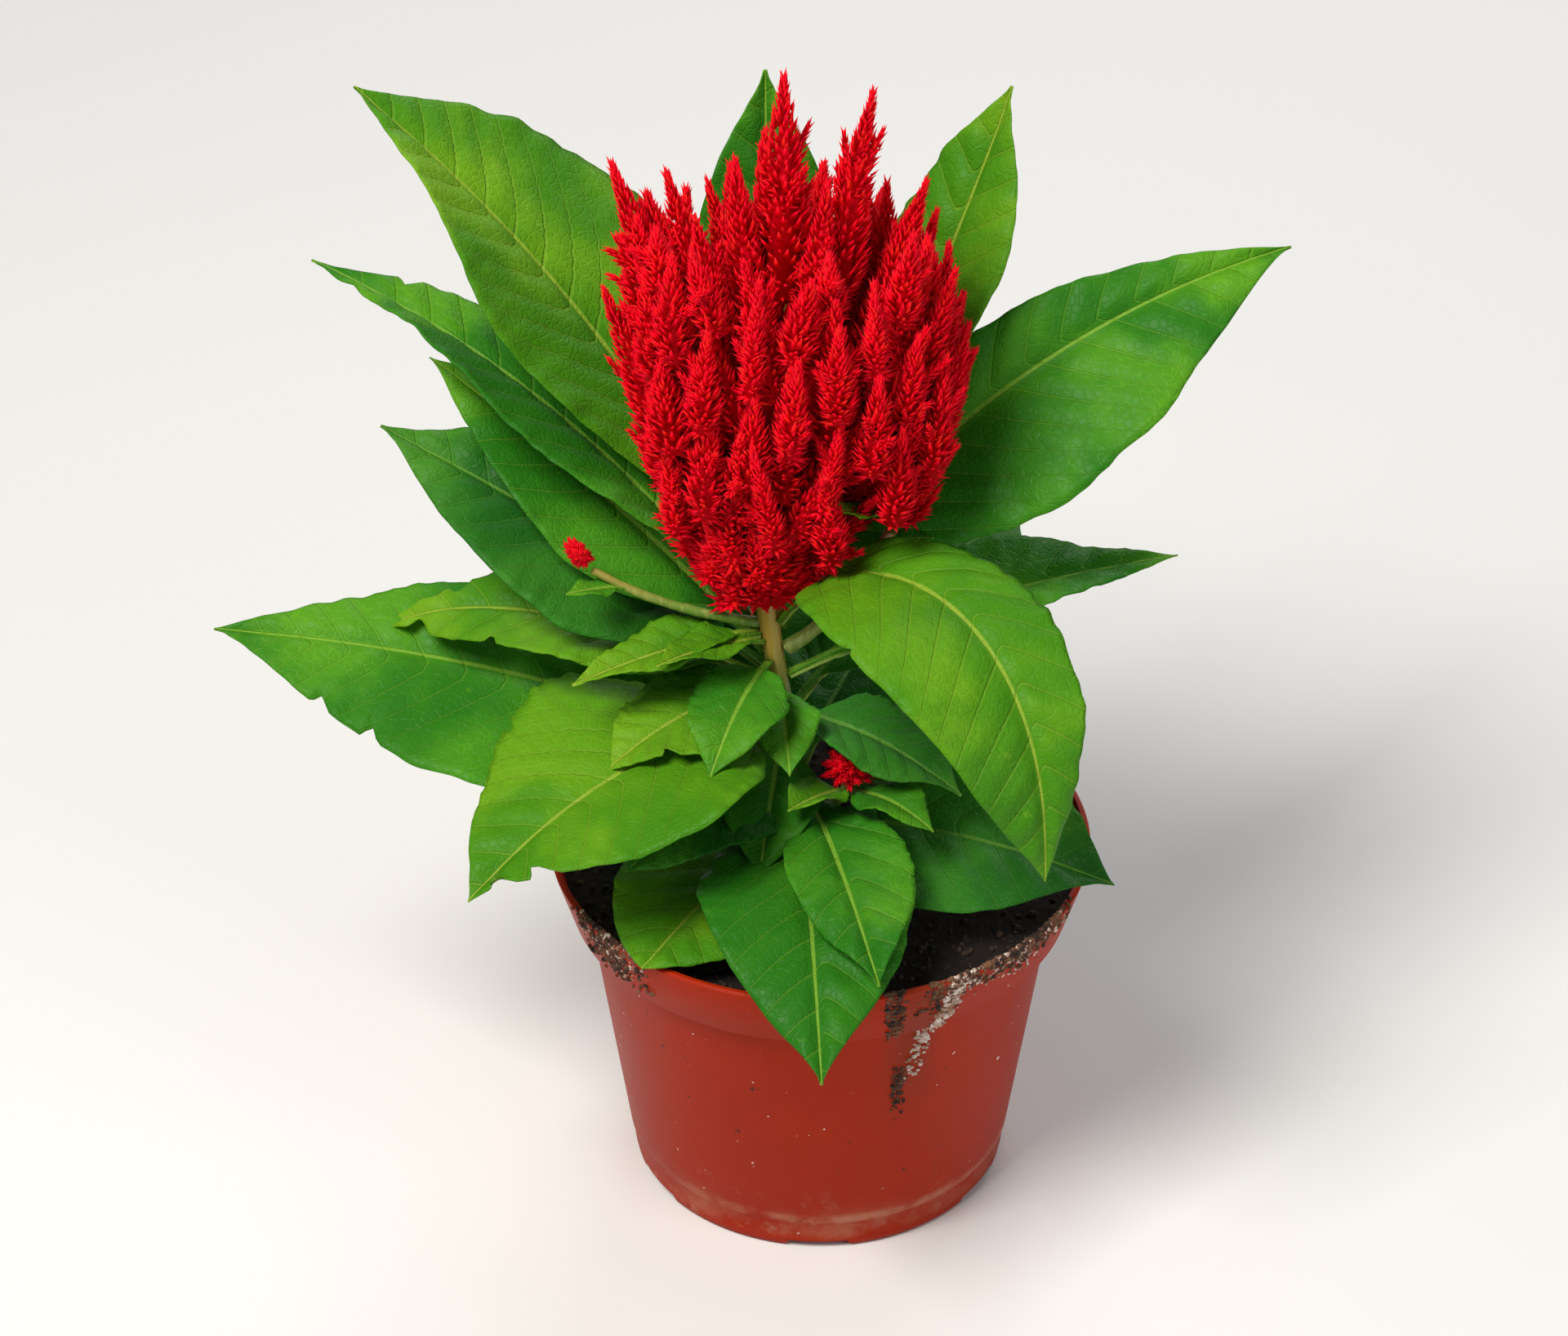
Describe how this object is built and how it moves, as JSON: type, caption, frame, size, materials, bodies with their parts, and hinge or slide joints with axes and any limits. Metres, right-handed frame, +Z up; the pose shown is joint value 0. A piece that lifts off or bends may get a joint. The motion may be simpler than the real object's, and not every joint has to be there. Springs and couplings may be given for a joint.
{
  "type": "plume celosia in a nursery pot",
  "caption": "Upright plume celosia in bloom: red feathery flower head, broad folded leaves, side shoots with buds, standing in a round plastic pot of soil.",
  "frame": {"origin": "centre of the pot's foot: the middle of the round pad under its floor, on the plane that the pad and the foot ring stand on", "axes": "+Z up along the pot's axis, +X to the viewer's right, +Y away from the viewer"},
  "size_m": [0.2343, 0.1806, 0.273],
  "materials": {
    "pot_plastic": "satin",
    "soil": "matte",
    "stem": "satin",
    "leaf": "satin",
    "plume": "matte"
  },
  "bodies": {
    "root": {"pot": "pot_plastic", "soil": "soil", "main_stem": "stem", "plume": "plume", "bud_front": "plume", "bud_left": "plume", "front_shoot": "leaf", "right_shoot": "leaf", "left_shoot": "leaf", "leaf_right_broad": "leaf", "leaf_right_low": "leaf", "leaf_right_folded": "leaf", "leaf_right_tall": "leaf", "leaf_right_inner": "leaf", "leaf_back_tall": "leaf", "leaf_back_right": "leaf", "leaf_back": "leaf", "leaf_back_left": "leaf", "leaf_back_low": "leaf", "leaf_left_tall": "leaf", "leaf_left_narrow": "leaf", "leaf_left_upper": "leaf", "leaf_left_dark": "leaf", "leaf_left_curled": "leaf", "leaf_left_long": "leaf", "leaf_front_left_broad": "leaf", "leaf_front_left_strip": "leaf", "leaf_front_left_waved": "leaf", "leaf_front_left_lower": "leaf", "leaf_front_round": "leaf", "leaf_front_hanging": "leaf", "leaf_front_small": "leaf", "leaf_front_right_lower": "leaf"}
  },
  "joints": []
}
